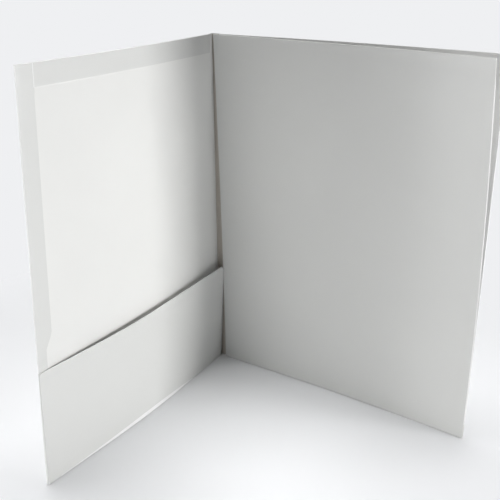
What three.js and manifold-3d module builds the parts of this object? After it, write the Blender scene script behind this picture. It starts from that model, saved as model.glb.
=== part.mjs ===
// A white card presentation folder, standing half open like a book.
// It is one die-cut sheet, folded and glued: two covers joined at the spine, hems turned in along
// their top and outer edges, a low pocket on the left cover, and a full-height panel folded up from
// the bottom edge of the right cover. Millimetres, +Z up. The right cover's foot runs along +X.
import * as THREE from 'three';
import { mergeVertices } from 'three/addons/utils/BufferGeometryUtils.js';
import Module from 'manifold-3d';

// Sheet
const coverWidth = 241;
const coverHeight = 292;
const card = 0.45;
const inset = 0.09;
const spineRadius = 1.2;
const spineMargin = 6;

// Hems, glued flat on the sheet behind them
const hemWidth = 15;
const hemFootWidth = 9;
const hemFootBevel = 10;
const hemFootLift = 12;
const hemLapRise = 0.9;

// Bottom folds, the left pocket and the right panel. The pocket's edge slopes down to its closed
// end, and it stands off the cover in a long bulge, and more towards its free end by the spine.
const foldGap = 1.6;
const foldRadius = 0.9;
const pocketHeight = 90.5;
const pocketEndHeight = 87.7;
const pocketCornerBevel = 4;
const pocketBulge = 3.4;
const pocketStandOff = 5;
const pocketStandOffLength = 90;
const panelDrop = 0.6;
const panelSpineGap = 1.5;

// How the folder stands: its bottom edges are on the ground and the sheet is slightly twisted
const openingAngle = THREE.MathUtils.degToRad(82);
const leftTwist = THREE.MathUtils.degToRad(2.1);
const rightTwist = THREE.MathUtils.degToRad(1.3);
const spineLean = new THREE.Vector2(-3.6, -7.3);
const leftBow = -4;
const rightFootBow = 3;
const rightTopBow = 6;
const rightEdgeBow = 7;
const coverFlare = 22;

// Fineness of the faceted bends
const columnPitch = 24;
const rowPitch = 36;
const spineSegments = 6;
const arcSegments = 4;
const rollSegments = 8;

const wasm = await Module();
wasm.setup();

const turned = (angle) => new THREE.Vector2(Math.cos(angle), Math.sin(angle));
const riseAboveFold = (z) => Math.max(0, z - foldRadius) / (coverHeight - foldRadius);

// Soft bow of a cover between its spine and its outer edge, outwards where it is positive. The
// right cover's outer edge is bowed along its height too.
function bow(along, z) {
  const share = Math.min(Math.abs(along) / coverWidth, 1);
  const arch = Math.sin(Math.PI * share);
  if (along <= 0) return leftBow * arch;
  const depth = THREE.MathUtils.lerp(rightFootBow, rightTopBow, z / coverHeight);
  return depth * arch + rightEdgeBow * share ** 2 * Math.sin((Math.PI * z) / coverHeight);
}

// How far the right cover has parted from its panel, widest at the top outer corner.
function flare(along, z) {
  return (coverFlare * Math.max(0, along) * riseAboveFold(z) ** 2.5) / coverWidth;
}

// Height of the left pocket's sloping edge.
function pocketTop(along) {
  return THREE.MathUtils.lerp(pocketHeight, pocketEndHeight, Math.abs(along) / coverWidth);
}

// How far the left pocket stands off its cover.
function standOff(along, z) {
  const share = Math.abs(along) / coverWidth;
  const nearness = Math.max(0, 1 - (Math.abs(along) - spineMargin) / pocketStandOffLength);
  const height = Math.max(0, z - foldRadius) / (pocketTop(along) - foldRadius);
  return height * (pocketBulge * Math.sin(Math.PI * share) + pocketStandOff * nearness ** 1.5);
}

// The sheet's own coordinates to space. Along is the distance from the spine over the inner face,
// positive on the right cover, and offset is the distance inwards from that face.
function place(along, z, offset) {
  const rise = z / coverHeight;
  const right = rightTwist * rise;
  const left = leftTwist * rise - openingAngle;
  const halfOpening = (right - left) / 2;
  const corner = spineLean.clone().multiplyScalar(rise);
  const arcHalf = spineRadius * (Math.PI / 2 - halfOpening);
  const inward = offset - bow(along, z);
  if (Math.abs(along) <= arcHalf) {
    const bisector = (right + left) / 2;
    const spoke = turned(bisector + Math.PI - along / spineRadius);
    corner.addScaledVector(turned(bisector), spineRadius / Math.sin(halfOpening));
    corner.addScaledVector(spoke, spineRadius - inward);
  } else {
    const heading = along > 0 ? right : left;
    const quarterTurn = along > 0 ? -Math.PI / 2 : Math.PI / 2;
    const run = spineRadius / Math.tan(halfOpening) + Math.abs(along) - arcHalf;
    corner.addScaledVector(turned(heading), run);
    corner.addScaledVector(turned(heading + quarterTurn), inward);
  }
  return new THREE.Vector3(corner.x, corner.y, z);
}

// Evenly spaced stops from one value to another, no further apart than the pitch.
function stops(from, to, pitch) {
  const count = Math.max(1, Math.ceil(Math.abs(to - from) / pitch));
  return Array.from({ length: count + 1 }, (_, i) => from + ((to - from) * i) / count);
}

// Moves every vertex of a geometry into space, by its place on the sheet, and makes it a solid.
function bend(geometry, sheetPlace) {
  const position = geometry.attributes.position;
  for (let i = 0; i < position.count; i += 1) {
    const [along, z, offset] = sheetPlace(position.getX(i), position.getY(i), position.getZ(i));
    position.setXYZ(i, ...place(along, z, offset).toArray());
  }
  geometry.deleteAttribute('normal');
  geometry.deleteAttribute('uv');
  const merged = mergeVertices(geometry, 1e-4);
  return new wasm.Manifold(new wasm.Mesh({
    numProp: 3,
    vertProperties: new Float32Array(merged.attributes.position.array),
    triVerts: new Uint32Array(merged.index.array),
  }));
}

// One layer of card between its back and front offsets, over stops along and up the sheet. A stop
// along the sheet may be a function of z, for an edge that is cut at a slant, and a slope may change
// the heights along the sheet.
function layer(columns, rows, back, front, slope = (along, z) => z) {
  const across = columns.length - 1;
  const up = rows.length - 1;
  return bend(new THREE.BoxGeometry(1, 1, 1, across, 1, up), (x, y, z) => {
    const row = rows[Math.round((z + 0.5) * up)];
    const column = columns[Math.round((x + 0.5) * across)];
    const along = typeof column === 'function' ? column(row) : column;
    const height = slope(along, row);
    return [along, height, y > 0 ? back(along, height) : front(along, height)];
  });
}

// The round fold where a hem turns back along a level edge. It is a little thinner than the two
// layers that it joins, by the inset on each face.
function levelRoll(columns, z, centre) {
  const steps = columns.length - 1;
  const roll = new THREE.CylinderGeometry(rollRadius, rollRadius, 1, rollSegments, steps);
  return bend(roll, (x, y, up) => {
    const along = columns[Math.round((y + 0.5) * steps)];
    return [along, z + up, centre(along, z) + x];
  });
}

// The round fold where a hem turns back along an upright edge.
function uprightRoll(along, rows, centre) {
  const steps = rows.length - 1;
  const roll = new THREE.CylinderGeometry(rollRadius, rollRadius, 1, rollSegments, steps);
  return bend(roll, (x, y, out) => {
    const z = rows[Math.round((y + 0.5) * steps)];
    return [along + x, z, centre(along, z) + out];
  });
}

// The fold at the bottom, where the sheet turns up into the pocket or the panel.
function bottomFold(columns) {
  const backCentre = card - foldRadius;
  const frontCentre = foldRadius - card - foldGap;
  const inner = foldRadius - card;
  const section = new THREE.Shape();
  section.absarc(backCentre, foldRadius, foldRadius, 0, -Math.PI / 2, true);
  section.absarc(frontCentre, foldRadius, foldRadius, -Math.PI / 2, -Math.PI, true);
  section.absarc(frontCentre, foldRadius, inner, -Math.PI, -Math.PI / 2, false);
  section.absarc(backCentre, foldRadius, inner, -Math.PI / 2, 0, false);
  const steps = columns.length - 1;
  const settings = { depth: 1, steps, bevelEnabled: false, curveSegments: arcSegments };
  const fold = new THREE.ExtrudeGeometry(section, settings);
  return bend(fold, (x, y, z) => [columns[Math.round(z * steps)], Math.max(0, y), -x]);
}

const coverFront = (along, z) => -flare(along, z);
const coverBack = (along, z) => coverFront(along, z) - card;
const sunk = (along, z) => coverFront(along, z) - card / 2;
const hemFront = (along, z) => coverFront(along, z) + card;
const panelBack = () => foldGap;
const panelFront = () => foldGap + card;

const rollRadius = card - inset;
const edge = coverWidth - card;
const hemTop = coverHeight - card;
const hemFoot = pocketHeight + hemFootLift;
const hemLapStart = coverHeight - hemWidth - hemLapRise;
const leftColumns = stops(-edge, -spineMargin, columnPitch);
const rightColumns = stops(spineMargin, edge, columnPitch);
const coverRows = stops(foldRadius, hemTop, rowPitch);

// Both covers and the spine between them, whose ends reach a little way into the folds beside them.
function covers() {
  const arc = (spineRadius * (Math.PI - openingAngle)) / 2;
  const bendColumns = stops(-arc, arc, (2 * arc) / spineSegments);
  const columns = [...leftColumns, ...bendColumns, ...rightColumns];
  const endColumns = [-spineMargin - inset, ...bendColumns, spineMargin + inset];
  const endBack = (along, z) => coverBack(along, z) + inset;
  const endFront = (along, z) => coverFront(along, z) - inset;
  return [
    layer(columns, coverRows, coverBack, coverFront),
    layer(endColumns, [0, foldRadius + inset], endBack, endFront),
    layer(endColumns, [hemTop - inset, coverHeight], endBack, endFront),
  ];
}

// The side hem rides up over the end of the top hem, over a short slope.
function lappedFront(along, z) {
  const lap = THREE.MathUtils.clamp((z - hemLapStart) / (hemLapRise - card), 0, 1);
  return hemFront(along, z) + card * lap;
}

// Hem along the top and outer edge of a cover, from the height where its side hem ends.
function coverHems(side, columns, sideRows) {
  const sideWidth = (z) => {
    const share = THREE.MathUtils.clamp((z - hemFoot) / hemFootBevel, 0, 1);
    return side < 0 ? THREE.MathUtils.lerp(hemFootWidth, hemWidth, share) : hemWidth;
  };
  const inner = (z) => side * (coverWidth - sideWidth(z));
  const outer = side * edge;
  const sideColumns = side < 0 ? [outer, inner] : [inner, outer];
  const topRows = [coverHeight - hemWidth, hemTop - inset];
  const upper = stops(coverHeight - hemWidth - card, hemTop - inset, rowPitch);
  const rollFoot = side < 0 ? pocketEndHeight - card : sideRows[0];
  const rollRows = stops(rollFoot, hemTop, rowPitch);
  return [
    layer(columns, topRows, sunk, hemFront),
    levelRoll(columns, hemTop, coverFront),
    layer(sideColumns, [...sideRows, hemLapStart, ...upper], sunk, lappedFront),
    uprightRoll(outer, rollRows, coverFront),
  ];
}

// The low pocket on the left cover: folded up at the bottom, closed at the outer edge.
function leftPocket() {
  const bevelFoot = pocketHeight - pocketCornerBevel;
  const freeEnd = (z) => -spineMargin - Math.max(0, z - bevelFoot);
  const columns = [...leftColumns.slice(0, -1), freeEnd];
  const rows = [...stops(foldRadius, bevelFoot, rowPitch), pocketHeight];
  const back = (along, z) => foldGap + standOff(along, z);
  const front = (along, z) => back(along, z) + card;
  const reach = pocketHeight - foldRadius;
  const slope = (along, z) => z - ((pocketHeight - pocketTop(along)) * Math.max(0, z - foldRadius)) / reach;
  const wallColumns = [-coverWidth, -edge + card];
  const wallRows = [inset, ...rows];
  return [
    bottomFold(leftColumns),
    layer(columns, rows, back, front, slope),
    layer(wallColumns, wallRows, () => inset - card, () => foldGap + card - inset, slope),
  ];
}

// The full-height panel in front of the right cover, with hems turned back behind it.
function rightPanel() {
  const top = coverHeight - panelDrop - card;
  const spineEdge = (z) => THREE.MathUtils.lerp(spineMargin, panelSpineGap, riseAboveFold(z));
  const columns = [spineEdge, ...rightColumns.slice(1)];
  const rows = stops(foldRadius, top, rowPitch);
  const hemBack = () => foldGap - card;
  const hemMiddle = () => foldGap + card / 2;
  const sideHemTop = coverHeight - panelDrop - hemWidth - card;
  const sideRows = stops(hemFootLift, sideHemTop, rowPitch);
  return [
    bottomFold(rightColumns),
    layer(columns, rows, panelBack, panelFront),
    layer(rightColumns, [sideHemTop + card, top], hemBack, hemMiddle),
    levelRoll(rightColumns, top, panelBack),
    layer([coverWidth - hemWidth, edge], sideRows, hemBack, hemMiddle),
    uprightRoll(edge, [...sideRows, top], panelBack),
  ];
}

function sheetGeometry() {
  const hemRowsTop = hemLapStart - hemLapRise;
  const hemRows = stops(hemFoot, hemRowsTop, rowPitch);
  const leftHemRows = [pocketHeight - hemFootLift, hemFoot, hemFoot + hemFootBevel, ...hemRows.slice(1)];
  const rightHemRows = stops(hemFootLift, hemRowsTop, rowPitch);
  const parts = [
    ...covers(),
    ...coverHems(-1, leftColumns, leftHemRows),
    ...coverHems(1, rightColumns, rightHemRows),
    ...leftPocket(),
    ...rightPanel(),
  ];
  const sheet = parts.reduce((whole, part) => whole.add(part)).getMesh();
  const geometry = new THREE.BufferGeometry();
  geometry.setAttribute('position', new THREE.BufferAttribute(sheet.vertProperties, sheet.numProp));
  geometry.setIndex(new THREE.BufferAttribute(sheet.triVerts, 1));
  geometry.computeVertexNormals();
  return geometry;
}

const whiteCard = new THREE.MeshStandardMaterial({ color: '#ececea', roughness: 0.5, metalness: 0 });

const folder = new THREE.Mesh(sheetGeometry(), whiteCard);
folder.name = 'folder';

// The origin is under the middle of the folder's box, on the ground.
folder.geometry.computeBoundingBox();
const middle = folder.geometry.boundingBox.getCenter(new THREE.Vector3());
folder.geometry.translate(-middle.x, -middle.y, -folder.geometry.boundingBox.min.z);

const part = new THREE.Group();
part.add(folder);

export default part;
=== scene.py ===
import math

import bpy
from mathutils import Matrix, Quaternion, Vector


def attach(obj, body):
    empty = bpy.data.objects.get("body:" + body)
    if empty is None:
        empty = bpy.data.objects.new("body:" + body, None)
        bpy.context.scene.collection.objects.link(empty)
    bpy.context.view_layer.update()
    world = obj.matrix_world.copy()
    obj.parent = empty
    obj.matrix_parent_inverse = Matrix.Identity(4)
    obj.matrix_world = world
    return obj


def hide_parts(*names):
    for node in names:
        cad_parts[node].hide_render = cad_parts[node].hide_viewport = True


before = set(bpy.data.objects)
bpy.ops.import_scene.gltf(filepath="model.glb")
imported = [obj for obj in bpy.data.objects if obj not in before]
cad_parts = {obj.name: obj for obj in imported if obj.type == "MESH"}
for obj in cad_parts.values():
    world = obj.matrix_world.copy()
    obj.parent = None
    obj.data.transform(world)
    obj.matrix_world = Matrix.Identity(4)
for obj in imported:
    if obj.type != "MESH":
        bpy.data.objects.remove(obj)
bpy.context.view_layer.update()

# Sizes of the folded sheet, in metres
MM = 0.001
COVER_WIDTH = 241 * MM
COVER_HEIGHT = 292 * MM
CARD = 0.45 * MM
SPINE_RADIUS = 1.2 * MM
SPINE_MARGIN = 6 * MM
HEM_WIDTH = 15 * MM
HEM_FOOT_WIDTH = 9 * MM
HEM_FOOT_BEVEL = 10 * MM
HEM_FOOT_LIFT = 12 * MM
HEM_LAP_RISE = 6 * MM
HEM_LAP_EASE = 2 * MM
HEM_LINE = 0.5 * MM
FOLD_GAP = 1.6 * MM
FOLD_RADIUS = 0.9 * MM
POCKET_HEIGHT = 90.5 * MM
POCKET_END_HEIGHT = 87.7 * MM
POCKET_CORNER_BEVEL = 4 * MM
POCKET_CORNER_LENGTH = 16 * MM
POCKET_BULGE = 3.4 * MM
POCKET_STAND_OFF = 5 * MM
POCKET_STAND_OFF_LENGTH = 90 * MM
POCKET_STAND_OFF_CURVE = 1.5
PANEL_DROP = 0.6 * MM

# How the folder stands
OPENING = math.radians(82)
LEFT_TWIST = math.radians(2.1)
RIGHT_TWIST = math.radians(1.3)
SPINE_LEAN = Vector((-3.6, -7.3)) * MM
LEFT_BOW = -4 * MM
RIGHT_FOOT_BOW = 3 * MM
RIGHT_TOP_BOW = 6 * MM
RIGHT_EDGE_BOW = 7 * MM
COVER_FLARE = 22 * MM
COVER_FLARE_CURVE = 2.5
SPINE_FOOT = Vector((-118.673, 112.135)) * MM

# Soft relief of the card's faces
EDGE_SETBACK = 0.1 * MM
BEVEL_DEPTH = 0.7 * MM
BEVEL_HEIGHT = 3.6 * MM
BEVEL_END_HEIGHT = 1.2 * MM
BEVEL_REACH = (55 * MM, 228 * MM)
BEVEL_SKEW = 0.7
BEVEL_CURVE = 1.5
CLOSING_LENGTH = 110 * MM
CLOSING_STEP = 1.15 * MM
FREE_EDGE_RUN = 40 * MM
FREE_EDGE_CURVE = 1.5
POCKET_FREE_EDGE = (1.4 * MM, 2.4 * MM)
PANEL_FREE_EDGE = (7.5 * MM, 1.5 * MM)
PANEL_HEM_SPINE_WIDTH = 2.5 * MM
HEM_STEP = 0.12 * MM
HEM_TOP_LEAN = -0.22
HEM_FOOT_LEAN = -0.14
STEP_RUN = 1.6 * MM
RELIEF_FOOT_RUN = 8 * MM
CREASE_HEIGHT = 0.09 * MM
CREASE_WIDTH = 2.2 * MM
CREASE_FADE = 0.25
CREASES = [
    ((3 * MM, 283 * MM), (153 * MM, 240 * MM)),
    ((14 * MM, 75 * MM), (60 * MM, 7 * MM)),
    ((56 * MM, 45 * MM), (96 * MM, 74 * MM)),
]

# Fineness of the meshes
COLUMN_PITCH = 3 * MM
ROW_PITCH = 4 * MM
PANEL_PITCH = 1.9 * MM
LAP_PITCH = 1 * MM
BEVEL_ROWS = 3
POCKET_ROWS = 50
FLAT_STEPS = 6
ARC_STEPS = 6
SPINE_STEPS = 12
INNER_RADIUS = 0.05 * CARD
SHARP_ANGLE = math.radians(50)


def clamp(value, low, high):
    return max(low, min(high, value))


def mix(start, end, share):
    return start + (end - start) * share


def smooth(share):
    share = clamp(share, 0.0, 1.0)
    return share * share * (3 - 2 * share)


def turned(angle):
    """The level direction at an angle from the X axis."""
    return Vector((math.cos(angle), math.sin(angle)))


def rise_above_fold(z):
    """Height above the bottom fold, as a share of the cover's."""
    return max(0.0, z - FOLD_RADIUS) / (COVER_HEIGHT - FOLD_RADIUS)


def bow(along, z):
    """Bow of a cover between its spine and its outer edge, outwards where it is positive."""
    share = min(abs(along) / COVER_WIDTH, 1.0)
    arch = math.sin(math.pi * share)
    if along <= 0:
        return LEFT_BOW * arch
    rise = z / COVER_HEIGHT
    depth = mix(RIGHT_FOOT_BOW, RIGHT_TOP_BOW, rise)
    return depth * arch + RIGHT_EDGE_BOW * share ** 2 * math.sin(math.pi * rise)


def flare(along, z):
    """How far the right cover has parted from its panel."""
    return COVER_FLARE * max(0.0, along) / COVER_WIDTH * rise_above_fold(z) ** COVER_FLARE_CURVE


def pocket_top(along):
    return mix(POCKET_HEIGHT, POCKET_END_HEIGHT, abs(along) / COVER_WIDTH)


def stand_off(along, z):
    """How far the left pocket stands off its cover."""
    share = abs(along) / COVER_WIDTH
    nearness = clamp(1 - (abs(along) - SPINE_MARGIN) / POCKET_STAND_OFF_LENGTH, 0, 1)
    height = max(0.0, z - FOLD_RADIUS) / (pocket_top(along) - FOLD_RADIUS)
    bulge = POCKET_BULGE * math.sin(math.pi * share)
    return height * (bulge + POCKET_STAND_OFF * nearness ** POCKET_STAND_OFF_CURVE)


def place(along, z, offset):
    """The sheet's own coordinates to space, as the CAD solid is bent."""
    rise = z / COVER_HEIGHT
    right = RIGHT_TWIST * rise
    left = LEFT_TWIST * rise - OPENING
    half = (right - left) / 2
    corner = SPINE_FOOT + SPINE_LEAN * rise
    arc_half = SPINE_RADIUS * (math.pi / 2 - half)
    inward = offset - bow(along, z)
    if abs(along) <= arc_half:
        middle = (right + left) / 2
        centre = corner + turned(middle) * (SPINE_RADIUS / math.sin(half))
        point = centre + turned(middle + math.pi - along / SPINE_RADIUS) * (SPINE_RADIUS - inward)
    else:
        heading = right if along > 0 else left
        quarter = -math.pi / 2 if along > 0 else math.pi / 2
        run = SPINE_RADIUS / math.tan(half) + abs(along) - arc_half
        point = corner + turned(heading) * run + turned(heading + quarter) * inward
    return Vector((point.x, point.y, z))


def stops(start, end, pitch):
    """Even places from start to end, no further apart than the pitch."""
    count = max(1, math.ceil(abs(end - start) / pitch))
    return [start + (end - start) * i / count for i in range(count + 1)]


def steps(start, end):
    """The places after the start on a hem's flat part."""
    return [mix(start, end, (k + 1) / FLAT_STEPS) for k in range(FLAT_STEPS)]


def arc(centre, radius, start, end):
    """Points on an arc, angles in degrees."""
    angles = [math.radians(mix(start, end, i / ARC_STEPS)) for i in range(ARC_STEPS + 1)]
    return [(centre[0] + radius * math.cos(a), centre[1] + radius * math.sin(a)) for a in angles]


def card_mesh(name, front, back):
    """A closed piece of card between two grids of sheet places, rows of (along, z, offset).

    The faces of the back grid and the rim have material 1, those of the front grid material 0.
    """
    rows = len(front)
    columns = len(front[0])
    places = [p for row in front for p in row] + [p for row in back for p in row]
    half = rows * columns

    def index(i, j, side):
        return side * half + i * columns + j

    faces = []
    for i in range(rows - 1):
        for j in range(columns - 1):
            quad = [(i, j), (i, j + 1), (i + 1, j + 1), (i + 1, j)]
            faces.append([index(*corner, 0) for corner in quad])
            faces.append([index(*corner, 1) for corner in reversed(quad)])
    rim = [(0, j) for j in range(columns)]
    rim += [(i, columns - 1) for i in range(1, rows)]
    rim += [(rows - 1, j) for j in range(columns - 2, -1, -1)]
    rim += [(i, 0) for i in range(rows - 2, 0, -1)]
    for start, end in zip(rim, rim[1:] + rim[:1]):
        faces.append([index(*end, 0), index(*start, 0), index(*start, 1), index(*end, 1)])

    mesh = bpy.data.meshes.new(name)
    mesh.from_pydata([place(*p) for p in places], [], faces)
    sheet = mesh.uv_layers.new(name="sheet")
    for loop in mesh.loops:
        along, z, _ = places[loop.vertex_index]
        sheet.data[loop.index].uv = (along, z)
    for polygon in mesh.polygons:
        polygon.material_index = 0 if max(polygon.vertices) < half else 1
    mesh.polygons.foreach_set("use_smooth", [True] * len(mesh.polygons))
    mesh.set_sharp_from_angle(angle=SHARP_ANGLE)
    piece = bpy.data.objects.new(name, mesh)
    bpy.context.scene.collection.objects.link(piece)
    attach(piece, "root")
    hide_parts("folder")
    return piece


def cover_front(along, z):
    return -flare(along, z)


EDGE = COVER_WIDTH - CARD - EDGE_SETBACK
HEM_TOP = COVER_HEIGHT - CARD
LAP_START = COVER_HEIGHT - HEM_WIDTH - HEM_LAP_RISE
LEFT_COLUMNS = stops(-EDGE, -SPINE_MARGIN, COLUMN_PITCH)
RIGHT_COLUMNS = stops(SPINE_MARGIN, EDGE, COLUMN_PITCH)


def spine_columns():
    arc_half = SPINE_RADIUS * (math.pi - OPENING) / 2
    return [-SPINE_MARGIN, *stops(-arc_half, arc_half, 2 * arc_half / SPINE_STEPS), SPINE_MARGIN]


def flat_card(name, columns, rows):
    """A stretch of the cover's own layer, for all the columns between two heights or more."""
    front = [[(a, z, cover_front(a, z)) for a in columns] for z in rows]
    back = [[(a, z, cover_front(a, z) - CARD) for a in columns] for z in rows]
    return card_mesh(name, front, back)


def make_covers():
    columns = [*LEFT_COLUMNS[:-1], *spine_columns(), *RIGHT_COLUMNS[1:]]
    return flat_card("covers", columns, stops(FOLD_RADIUS, HEM_TOP, ROW_PITCH))


def make_spine_ends():
    """The plain card above the hems' fold and below the bottom folds, next to the spine."""
    foot = flat_card("spine_foot", spine_columns(), [0.0, FOLD_RADIUS])
    top = flat_card("spine_top", spine_columns(), [HEM_TOP, COVER_HEIGHT])
    return [foot, top]


def level_strip(name, columns, front_path, back_path):
    """A strip swept along the sheet. Each path gives (offset, z) points for one place along."""
    front = list(zip(*[[(a, z, o) for o, z in front_path(a)] for a in columns]))
    back = list(zip(*[[(a, z, o) for o, z in back_path(a)] for a in columns]))
    return card_mesh(name, front, back)


def upright_strip(name, rows, front_path, back_path):
    """A strip swept up the sheet. Each path gives (offset, along) points for one height."""
    front = [[(a, z, o) for o, a in front_path(z)] for z in rows]
    back = [[(a, z, o) for o, a in back_path(z)] for z in rows]
    return card_mesh(name, front, back)


def top_hem(name, columns):
    """The hem along a cover's top: round the fold and down the inner face."""
    flat = stops(HEM_TOP, COVER_HEIGHT - HEM_WIDTH, ROW_PITCH)[1:]

    def path(radius):
        def at(along):
            base = cover_front(along, HEM_TOP)
            rounded = [(base + o, z) for o, z in arc((0, HEM_TOP), radius, 180, 0)]
            return rounded + [(cover_front(along, z) + radius, z) for z in flat]
        return at

    return level_strip(name, columns, path(CARD), path(INNER_RADIUS))


def side_hem(name, side, foot, foot_width):
    """The hem along a cover's outer edge. It rides over the end of the top hem."""
    bevel_foot = foot + 2 * HEM_FOOT_LIFT

    def width(z):
        return mix(foot_width, HEM_WIDTH, clamp((z - bevel_foot) / HEM_FOOT_BEVEL, 0, 1))

    def path(radius):
        def at(z):
            rounded = arc((cover_front(side * EDGE, z), EDGE), radius, 180, 0)
            lap = CARD * smooth((z - LAP_START) / HEM_LAP_RISE)
            inner_edge = COVER_WIDTH - width(z)
            flat = [*steps(EDGE, inner_edge + HEM_LINE), inner_edge]
            lifted = [lap * smooth((EDGE - a) / HEM_LAP_EASE) for a in flat]
            laid = [(cover_front(side * a, z) + radius + up, a) for a, up in zip(flat, lifted)]
            return [(o, side * a) for o, a in rounded + laid]
        return at

    rows = [*stops(foot, LAP_START, ROW_PITCH), *stops(LAP_START, HEM_TOP, LAP_PITCH)[1:]]
    return upright_strip(name, rows, path(CARD), path(INNER_RADIUS))


def fold_paths(face, radius, reach=0.0):
    """The sheet turning up at the bottom: from the cover's foot, round the fold, up its face."""
    under = arc((FOLD_RADIUS - CARD, FOLD_RADIUS), radius, 180, 270)
    up = arc((FOLD_GAP + CARD - FOLD_RADIUS + reach, FOLD_RADIUS), radius, 270, 360)
    return under + up[:-1] + face


def bevel_height(along):
    """Where the pocket's slanted foot meets its face: a long lens, highest near its middle."""
    start, end = BEVEL_REACH
    share = clamp((abs(along) - start) / (end - start), 0, 1) ** BEVEL_SKEW
    return mix(BEVEL_END_HEIGHT, BEVEL_HEIGHT, math.sin(math.pi * share) ** BEVEL_CURVE)


def bevel(along, z):
    """How far the pocket's foot stands out, sloping back up to its face."""
    height = bevel_height(along)
    depth = BEVEL_DEPTH * height / BEVEL_HEIGHT
    return depth * clamp((height - z) / (height - FOLD_RADIUS), 0, 1)


def closing(along, z):
    """The pocket's face comes down onto the cover toward its glued end, most at the mouth."""
    near = smooth((abs(along) - COVER_WIDTH + CLOSING_LENGTH) / CLOSING_LENGTH)
    return -CLOSING_STEP * near * smooth(z / pocket_top(along))


def free_edge(along, z, limits, height):
    """The sheet's place where a flap's free edge, next to the spine, is cut at its own distance."""
    foot, top = limits
    limit = mix(foot, top, (z / height) ** FREE_EDGE_CURVE)
    near = clamp(1 - (abs(along) - SPINE_MARGIN) / FREE_EDGE_RUN, 0, 1)
    return along + math.copysign(1, along) * (limit - SPINE_MARGIN) * near


def make_pocket():
    """The left pocket: up from the fold, with a slanted foot and its corner cut at the spine."""
    corner_foot = POCKET_HEIGHT - POCKET_CORNER_BEVEL

    def heights(along):
        crease = bevel_height(along)
        foot = [mix(FOLD_RADIUS, crease, k / BEVEL_ROWS) for k in range(BEVEL_ROWS)]
        return foot + [mix(crease, pocket_top(along), k / POCKET_ROWS) for k in range(POCKET_ROWS + 1)]

    def trimmed(along, z):
        near = clamp(1 - (abs(along) - SPINE_MARGIN) / POCKET_CORNER_LENGTH, 0, 1)
        return free_edge(along, z, POCKET_FREE_EDGE, POCKET_HEIGHT) - max(0.0, z - corner_foot) * near

    def offset(along, z):
        return FOLD_GAP + stand_off(along, z) + bevel(along, z) + closing(along, z)

    def grid(lift, radius):
        made = []
        for a in LEFT_COLUMNS:
            face = [(lift + offset(a, z), z) for z in heights(a)]
            path = fold_paths(face, radius, bevel(a, FOLD_RADIUS))
            made.append([(trimmed(a, z), z, o) for o, z in path])
        return list(zip(*made))

    return card_mesh("pocket", grid(CARD, FOLD_RADIUS), grid(0.0, FOLD_RADIUS - CARD))


def make_pocket_wall():
    """The pocket's closed end, where its tab turns in at the cover's outer edge."""
    rows = stops(CARD, POCKET_END_HEIGHT, ROW_PITCH)

    def path(radius):
        def at(z):
            end = COVER_WIDTH - EDGE_SETBACK - FOLD_RADIUS
            gap = FOLD_GAP + closing(COVER_WIDTH, z)
            near = arc((FOLD_RADIUS - CARD, end), radius, 180, 90)
            far = arc((gap + CARD - FOLD_RADIUS, end), radius, 90, 0)
            return [(o, -a) for o, a in near + far]
        return at

    return upright_strip("pocket_wall", rows, path(FOLD_RADIUS), path(FOLD_RADIUS - CARD))


def crease_relief(along, z):
    """Soft raised lines where the panel was once bent."""
    relief = 0.0
    for start, end in CREASES:
        run = Vector(end) - Vector(start)
        reach = Vector((along, z)) - Vector(start)
        share = reach.dot(run) / run.length_squared
        aside = abs(reach.cross(run)) / run.length
        fade = smooth(share / CREASE_FADE) * smooth((1 - share) / CREASE_FADE)
        relief += CREASE_HEIGHT * fade * math.exp(-(aside / CREASE_WIDTH) ** 2)
    return relief


def panel_hem_width(along):
    """The panel's top hem is narrower toward the spine."""
    return mix(PANEL_HEM_SPINE_WIDTH, HEM_WIDTH, along / COVER_WIDTH)


def hem_swell(depth):
    """How far the panel's face stands out, in hem widths, over the glued top hem behind it."""
    lean = HEM_TOP_LEAN * depth - (HEM_TOP_LEAN + HEM_FOOT_LEAN) / 2 * depth ** 2
    return lean - (HEM_TOP_LEAN - HEM_FOOT_LEAN) / 2


def panel_relief(along, z, top):
    """The hems behind the panel show through as soft steps, and the top one as a swell."""
    width = panel_hem_width(along)
    depth = (top - z) / width
    top_step = smooth((width - (top - z)) / STEP_RUN + 0.5)
    side_step = smooth((along - COVER_WIDTH + HEM_WIDTH) / STEP_RUN + 0.5)
    swell = width * hem_swell(depth) if depth < 1 else 0.0
    return HEM_STEP * max(top_step, side_step) + swell + crease_relief(along, z)


def make_panel():
    """The panel in front of the right cover: up from the fold, over its top and down the hem."""
    top = COVER_HEIGHT - PANEL_DROP - CARD
    rows = stops(FOLD_RADIUS, top, PANEL_PITCH)[:-1]
    columns = stops(SPINE_MARGIN, EDGE, PANEL_PITCH)

    def trimmed(along, z):
        return free_edge(along, z, PANEL_FREE_EDGE, COVER_HEIGHT)

    def grid(lift, radius, turn_radius):
        made = []
        for a in columns:
            crest = panel_relief(a, top, top)
            face = []
            for z in rows:
                relief = panel_relief(a, z, top) * smooth(z / RELIEF_FOOT_RUN)
                face.append((FOLD_GAP + lift + relief, z))
            turn = arc((FOLD_GAP + crest, top), turn_radius, 0, 180)
            hem = [(FOLD_GAP - turn_radius, z) for z in steps(top, top - panel_hem_width(a))]
            path = fold_paths(face, radius) + turn + hem
            made.append([(trimmed(a, z), z, o) for o, z in path])
        return list(zip(*made))

    outside = grid(CARD, FOLD_RADIUS, CARD)
    inside = grid(0.0, FOLD_RADIUS - CARD, INNER_RADIUS)
    return card_mesh("front_panel", outside, inside)


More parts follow.
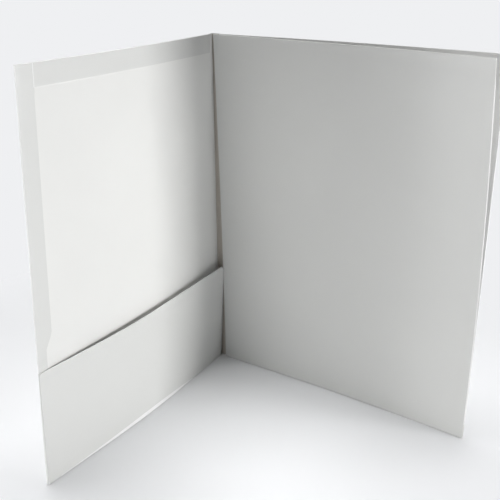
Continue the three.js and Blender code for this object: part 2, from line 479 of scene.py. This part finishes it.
def make_panel_side_hem():
    """The hem behind the panel, along its outer edge."""
    rows = stops(HEM_FOOT_LIFT, COVER_HEIGHT - PANEL_DROP - HEM_WIDTH - 2 * CARD, ROW_PITCH)
    flat = steps(EDGE, COVER_WIDTH - HEM_WIDTH)

    def path(radius):
        def at(z):
            rounded = arc((FOLD_GAP, EDGE), radius, 0, 180)
            return rounded + [(FOLD_GAP - radius, a) for a in flat]
        return at

    return upright_strip("panel_side_hem", rows, path(CARD), path(INNER_RADIUS))


covers = make_covers()
spine_ends = make_spine_ends()
left_top_hem = top_hem("left_top_hem", LEFT_COLUMNS)
right_top_hem = top_hem("right_top_hem", RIGHT_COLUMNS)
left_side_hem = side_hem("left_side_hem", -1, POCKET_HEIGHT - HEM_FOOT_LIFT, HEM_FOOT_WIDTH)
right_side_hem = side_hem("right_side_hem", 1, HEM_FOOT_LIFT, HEM_WIDTH)
pocket = make_pocket()
pocket_wall = make_pocket_wall()
front_panel = make_panel()
panel_side_hem = make_panel_side_hem()


# Materials
FIBRE_SCALE = 900
FIBRE_DETAIL = 4
FIBRE_DEPTH = 0.1 * MM
CLOUD_SCALE = 14
CLOUD_DETAIL = 3
CLOUD_DARKEST = 0.975
CLOUD_LIGHTEST = 1.02
ROUGHNESS_SPREAD = 0.05
# How far along the sheet, either side of the spine, the painted shade in the crease reaches
SPINE_SHADE_REACH = (-1.5 * SPINE_RADIUS, SPINE_MARGIN)


def new_material(name):
    """A material with a plain shader, its shader node and its output node."""
    material = bpy.data.materials.new(name)
    material.use_nodes = True
    nodes = material.node_tree.nodes
    nodes.clear()
    output = nodes.new("ShaderNodeOutputMaterial")
    shader = nodes.new("ShaderNodeBsdfPrincipled")
    material.node_tree.links.new(shader.outputs["BSDF"], output.inputs["Surface"])
    return material, shader, output


def noise(material, scale, detail):
    """Noise that stays in place on the piece."""
    coordinates = material.node_tree.nodes.new("ShaderNodeTexCoord")
    texture = material.node_tree.nodes.new("ShaderNodeTexNoise")
    texture.inputs["Scale"].default_value = scale
    texture.inputs["Detail"].default_value = detail
    material.node_tree.links.new(coordinates.outputs["Object"], texture.inputs["Vector"])
    return texture.outputs["Fac"]


def card_material(name, colour, roughness, specular, grain):
    """Card with a soft cloudiness in its tone and a fine fibre grain in its surface."""
    material, shader, _ = new_material(name)
    nodes = material.node_tree.nodes
    links = material.node_tree.links
    shader.inputs["Specular IOR Level"].default_value = specular
    fibre = noise(material, FIBRE_SCALE, FIBRE_DETAIL)
    cloud = noise(material, CLOUD_SCALE, CLOUD_DETAIL)
    tint = nodes.new("ShaderNodeMix")
    tint.data_type = "RGBA"
    tint.inputs["A"].default_value = (*[c * CLOUD_DARKEST for c in colour], 1)
    tint.inputs["B"].default_value = (*[min(1, c * CLOUD_LIGHTEST) for c in colour], 1)
    links.new(cloud, tint.inputs["Factor"])
    links.new(tint.outputs["Result"], shader.inputs["Base Color"])
    rough = nodes.new("ShaderNodeMapRange")
    rough.inputs["To Min"].default_value = roughness - ROUGHNESS_SPREAD
    rough.inputs["To Max"].default_value = roughness + ROUGHNESS_SPREAD
    links.new(fibre, rough.inputs["Value"])
    links.new(rough.outputs["Result"], shader.inputs["Roughness"])
    bump = nodes.new("ShaderNodeBump")
    bump.inputs["Strength"].default_value = grain
    bump.inputs["Distance"].default_value = FIBRE_DEPTH
    links.new(fibre, bump.inputs["Height"])
    links.new(bump.outputs["Normal"], shader.inputs["Normal"])
    return material


inside_card = card_material(
    "inside_card", colour=(0.87, 0.87, 0.85), roughness=0.8, specular=0.2, grain=0.5)
outside_card = card_material(
    "outside_card", colour=(0.76, 0.763, 0.745), roughness=0.45, specular=0.4, grain=0.3)
# Painted light: a card whiter than the card's own, for painted highlights on folded edges, the lapped
# hem line and the pocket's slanted foot, to lighten the shaded hems of the right cover, and for the
# pocket's inner face and rim
painted_light_card = card_material(
    "painted_light_card", colour=(0.95, 0.95, 0.945), roughness=0.6, specular=0.3, grain=0.3)
# Painted shade: a brown-grey card that darkens the spine's crease, which lies in shade in the gap
# behind the panel
painted_spine_shade_card = card_material(
    "painted_spine_shade_card", colour=(0.6, 0.56, 0.5), roughness=0.8, specular=0.2, grain=0.5)


def paint(piece, front, back):
    """One material for the front grid's faces and one for the back's and the rim."""
    piece.data.materials.append(front)
    piece.data.materials.append(back)


def touch_up(piece, material, chosen):
    """Another material on the front faces whose middle on the sheet is chosen."""
    piece.data.materials.append(material)
    slot = len(piece.data.materials) - 1
    sheet = piece.data.uv_layers["sheet"].data
    for polygon in piece.data.polygons:
        corners = [sheet[loop].uv for loop in polygon.loop_indices]
        middle = sum(corners, Vector((0, 0))) / len(corners)
        if polygon.material_index == 0 and chosen(middle.x, middle.y):
            polygon.material_index = slot


def on_fold_highlight(along, z):
    return abs(along) > EDGE or z > HEM_TOP


def on_outer_edge(along, z):
    return along > EDGE


def on_bevel(along, z):
    start, end = BEVEL_REACH
    return start < abs(along) < end and FOLD_RADIUS < z < bevel_height(along)


def on_hem_line(along, z):
    return abs(along) < COVER_WIDTH - HEM_WIDTH + HEM_LINE and z > COVER_HEIGHT - HEM_WIDTH


def in_spine_shade(along, z):
    start, end = SPINE_SHADE_REACH
    return start < along < end


for piece in [covers, *spine_ends]:
    paint(piece, inside_card, outside_card)
for piece in [left_top_hem, left_side_hem, pocket_wall, front_panel, panel_side_hem]:
    paint(piece, outside_card, inside_card)
# The pocket's inner face and rim take the painted-light card, lighter than the inside card of the rest
# of the sheet
paint(pocket, outside_card, painted_light_card)
# Painted light: the right cover's hems get the whiter card to lighten the shade they lie in behind the
# panel
for piece in [right_top_hem, right_side_hem]:
    paint(piece, painted_light_card, inside_card)
# Painted highlight on the rolled outer and top edges of the left cover's hems
for piece in [left_top_hem, left_side_hem]:
    touch_up(piece, painted_light_card, on_fold_highlight)
# Painted highlight on the rolled outer edge of the panel and its side hem
for piece in [front_panel, panel_side_hem]:
    touch_up(piece, painted_light_card, on_outer_edge)
# Painted highlight along the side hem's inner edge where it laps over the top hem
touch_up(left_side_hem, painted_light_card, on_hem_line)
# Painted highlight along the pocket's slanted foot
touch_up(pocket, painted_light_card, on_bevel)
# Painted shade in the spine's crease
touch_up(covers, painted_spine_shade_card, in_spine_shade)

# Floor
FLOOR_HALF = 6.0
FLOOR_FADE_START = 0.23
FLOOR_FADE_END = 0.31
FLOOR_COLOUR = (0.86, 0.868, 0.884)
FLOOR_ROUGHNESS = 0.9
BACKGROUND = (0.863, 0.871, 0.888)


def make_floor():
    """A white floor that the camera sees fade into the backdrop, away from the folder."""
    mesh = bpy.data.meshes.new("floor")
    corners = [(-FLOOR_HALF, -FLOOR_HALF, 0), (FLOOR_HALF, -FLOOR_HALF, 0),
               (FLOOR_HALF, FLOOR_HALF, 0), (-FLOOR_HALF, FLOOR_HALF, 0)]
    mesh.from_pydata(corners, [], [(0, 1, 2, 3)])
    floor = bpy.data.objects.new("floor", mesh)
    bpy.context.scene.collection.objects.link(floor)
    material, shader, output = new_material("floor_white")
    nodes = material.node_tree.nodes
    links = material.node_tree.links
    shader.inputs["Base Color"].default_value = (*FLOOR_COLOUR, 1)
    shader.inputs["Roughness"].default_value = FLOOR_ROUGHNESS
    shader.inputs["Specular IOR Level"].default_value = 0.0
    coordinates = nodes.new("ShaderNodeTexCoord")
    distance = nodes.new("ShaderNodeVectorMath")
    distance.operation = "DISTANCE"
    distance.inputs[1].default_value = (*SPINE_FOOT, 0)
    links.new(coordinates.outputs["Object"], distance.inputs[0])
    fade = nodes.new("ShaderNodeMapRange")
    fade.interpolation_type = "SMOOTHSTEP"
    fade.inputs["From Min"].default_value = FLOOR_FADE_START
    fade.inputs["From Max"].default_value = FLOOR_FADE_END
    links.new(distance.outputs["Value"], fade.inputs["Value"])
    path = nodes.new("ShaderNodeLightPath")
    whitened = nodes.new("ShaderNodeMath")
    whitened.operation = "MULTIPLY"
    links.new(fade.outputs["Result"], whitened.inputs[0])
    links.new(path.outputs["Is Camera Ray"], whitened.inputs[1])
    backdrop = nodes.new("ShaderNodeEmission")
    backdrop.inputs["Color"].default_value = (*BACKGROUND, 1)
    choice = nodes.new("ShaderNodeMixShader")
    links.new(whitened.outputs["Value"], choice.inputs["Fac"])
    links.new(shader.outputs["BSDF"], choice.inputs[1])
    links.new(backdrop.outputs["Emission"], choice.inputs[2])
    links.new(choice.outputs["Shader"], output.inputs["Surface"])
    mesh.materials.append(material)


make_floor()

# Soft suns, and low softboxes round the open side: angles in degrees, aims from the spine's foot
AIM_HEIGHT = 0.15
SUNS = {
    "top_light": {"heading": 135, "elevation": 80, "spread": 40, "strength": 2.34},
    "back_light": {"heading": 180, "elevation": 70, "spread": 40, "strength": 0.38},
    "front_light": {"heading": -90, "elevation": 13, "spread": 30, "strength": 0.37},
}
SOFTBOXES = {
    "right_box": {"heading": 20, "aim": (0, -0.12), "reach": 1.2,
                  "height": 0.15, "size": (0.3, 0.3), "power": 7.54},
    "left_box": {"heading": -125, "aim": (0.05, -0.1), "reach": 0.9,
                 "height": 0.04, "size": (0.3, 0.08), "power": 3.14},
    "far_box": {"heading": -115, "aim": (0.05, -0.1), "reach": 1.2,
                "height": 0.04, "size": (0.3, 0.08), "power": 1.51},
}


def make_world():
    """The backdrop's white for what the camera sees and what the satin card mirrors."""
    world = bpy.data.worlds.new("studio")
    bpy.context.scene.world = world
    world.use_nodes = True
    nodes = world.node_tree.nodes
    links = world.node_tree.links
    nodes.clear()
    output = nodes.new("ShaderNodeOutputWorld")
    dark = nodes.new("ShaderNodeBackground")
    dark.inputs["Color"].default_value = (0, 0, 0, 1)
    white = nodes.new("ShaderNodeBackground")
    white.inputs["Color"].default_value = (*BACKGROUND, 1)
    path = nodes.new("ShaderNodeLightPath")
    seen = nodes.new("ShaderNodeMath")
    seen.operation = "MAXIMUM"
    links.new(path.outputs["Is Camera Ray"], seen.inputs[0])
    links.new(path.outputs["Is Glossy Ray"], seen.inputs[1])
    seen_through = nodes.new("ShaderNodeMath")
    seen_through.operation = "MAXIMUM"
    links.new(seen.outputs["Value"], seen_through.inputs[0])
    links.new(path.outputs["Is Transmission Ray"], seen_through.inputs[1])
    choice = nodes.new("ShaderNodeMixShader")
    links.new(seen_through.outputs["Value"], choice.inputs["Fac"])
    links.new(dark.outputs["Background"], choice.inputs[1])
    links.new(white.outputs["Background"], choice.inputs[2])
    links.new(choice.outputs["Shader"], output.inputs["Surface"])


def hang(name, light, location, direction):
    """A lamp that shines in a direction."""
    lamp = bpy.data.objects.new(name, light)
    lamp.location = location
    lamp.rotation_euler = direction.to_track_quat("-Z", "Y").to_euler()
    bpy.context.scene.collection.objects.link(lamp)


def make_sun(name, heading, elevation, spread, strength):
    light = bpy.data.lights.new(name, "SUN")
    light.angle = math.radians(spread)
    light.energy = strength
    flat = turned(math.radians(heading)) * math.cos(math.radians(elevation))
    away = Vector((flat.x, flat.y, math.sin(math.radians(elevation))))
    hang(name, light, away, -away)


def make_softbox(name, heading, aim, reach, height, size, power):
    light = bpy.data.lights.new(name, "AREA")
    light.shape = "RECTANGLE"
    light.size, light.size_y = size
    light.energy = power
    target = Vector((SPINE_FOOT.x + aim[0], SPINE_FOOT.y + aim[1], AIM_HEIGHT))
    flat = turned(math.radians(heading)) * reach
    location = Vector((target.x + flat.x, target.y + flat.y, height))
    hang(name, light, location, target - location)


make_world()
for name, sun in SUNS.items():
    make_sun(name, **sun)
for name, box in SOFTBOXES.items():
    make_softbox(name, **box)

# Camera, at the photograph's angle
PHOTO_SIZE = 500
FOCAL_PIXELS = 865
CAMERA_PITCH = math.radians(19.21)
CAMERA_HEADING = math.radians(126.28)
CAMERA_ROLL = math.radians(0.86)
CAMERA_FROM_SPINE = Vector((454.4, -574.9, 358.0)) * MM
SENSOR_WIDTH = 36


def make_camera():
    data = bpy.data.cameras.new("camera")
    data.sensor_width = SENSOR_WIDTH
    data.lens = SENSOR_WIDTH * FOCAL_PIXELS / PHOTO_SIZE
    camera = bpy.data.objects.new("camera", data)
    camera.location = Vector((*SPINE_FOOT, 0)) + CAMERA_FROM_SPINE
    flat = turned(CAMERA_HEADING) * math.cos(CAMERA_PITCH)
    look = Vector((flat.x, flat.y, -math.sin(CAMERA_PITCH)))
    camera.rotation_mode = "QUATERNION"
    camera.rotation_quaternion = look.to_track_quat("-Z", "Y") @ Quaternion((0, 0, 1), CAMERA_ROLL)
    bpy.context.scene.collection.objects.link(camera)
    bpy.context.scene.camera = camera


make_camera()
bpy.context.scene.view_settings.view_transform = "Standard"
